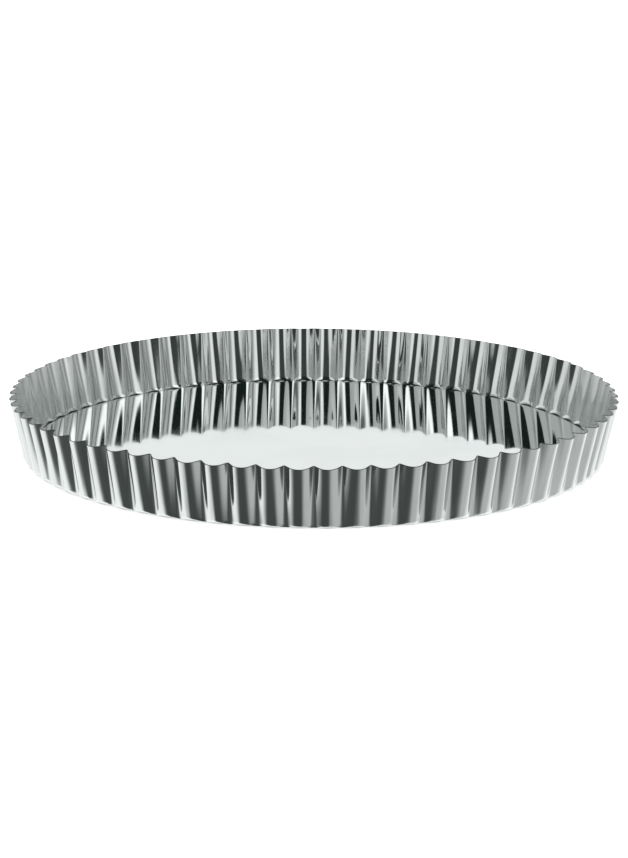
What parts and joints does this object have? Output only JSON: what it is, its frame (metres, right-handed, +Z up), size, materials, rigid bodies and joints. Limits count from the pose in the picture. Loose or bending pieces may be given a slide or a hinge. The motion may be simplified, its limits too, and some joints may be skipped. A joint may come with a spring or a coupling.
{
  "type": "fluted tart pan",
  "caption": "Round shallow tart pan of bright tinplate: a ring with a leaning fluted wall and an inward lip, and a flat loose base that lies on the lip and lifts out.",
  "frame": {"origin": "centre of the pan's underside, on the plane that it rests on", "axes": "+Z up along the pan's axis; a ridge of the flutes faces -Y, the side nearest the camera in the picture"},
  "size_m": [0.2798, 0.2798, 0.0275],
  "materials": {
    "ring_tinplate": "bright drawn tinplate with faint rolling and drawing lines",
    "base_tinplate": "bright rolled tinplate, close to a mirror, with faint rolling lines"
  },
  "bodies": {
    "ring": {"fluted_ring": "ring_tinplate"},
    "base": {"loose_base": "base_tinplate"}
  },
  "joints": [
    {"name": "base_lift", "type": "slide", "parent": "ring", "child": "base", "axis": [0, 0, 1], "range_m": [0, 0.04]}
  ]
}
